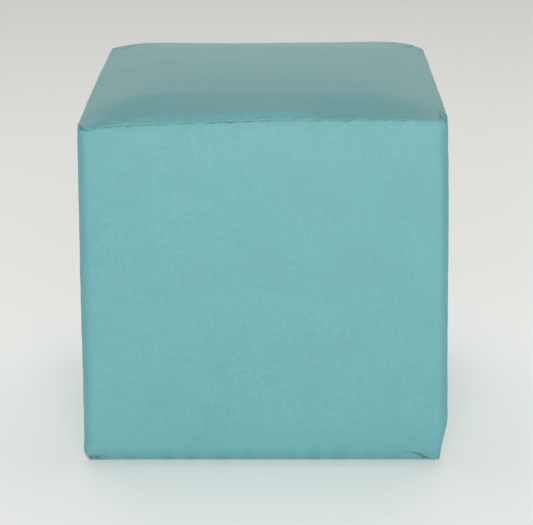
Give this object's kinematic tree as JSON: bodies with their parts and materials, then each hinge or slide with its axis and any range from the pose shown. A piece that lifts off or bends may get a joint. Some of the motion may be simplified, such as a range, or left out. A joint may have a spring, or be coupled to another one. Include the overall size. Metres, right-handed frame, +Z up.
{
  "type": "cube ottoman",
  "caption": "Cube ottoman with a crowned padded top and a sewn vinyl cover stapled under a plywood frame.",
  "frame": {"origin": "on the floor, below the middle of the ottoman", "axes": "+Z up, the front faces -Y, +X to the right seen from the front"},
  "size_m": [0.43, 0.43, 0.445],
  "materials": {
    "vinyl": "satin",
    "batting": "matte",
    "foam": "matte",
    "plywood": "matte",
    "softwood": "matte",
    "zinc_steel": "satin",
    "staple_wire": "satin",
    "cambric": "matte",
    "nylon": "satin"
  },
  "bodies": {
    "root": {"cover_top": "vinyl", "cover_front": "vinyl", "cover_back": "vinyl", "cover_left": "vinyl", "cover_right": "vinyl", "batting_top": "batting", "batting_wrap": "batting", "seat_foam": "foam", "foam_front": "foam", "foam_back": "foam", "foam_left": "foam", "foam_right": "foam", "seat_deck": "plywood", "panel_front": "plywood", "panel_back": "plywood", "panel_left": "plywood", "panel_right": "plywood", "post_fl": "softwood", "post_fr": "softwood", "post_bl": "softwood", "post_br": "softwood", "rail_front": "softwood", "rail_back": "softwood", "rail_left": "softwood", "rail_right": "softwood", "deck_brace": "softwood", "panel_screws": "zinc_steel", "deck_screws": "zinc_steel", "cover_staples": "staple_wire", "dust_cover": "cambric", "dust_staples": "staple_wire", "glide_fl": "nylon", "glide_fr": "nylon", "glide_bl": "nylon", "glide_br": "nylon", "glide_screws": "zinc_steel"}
  },
  "joints": []
}
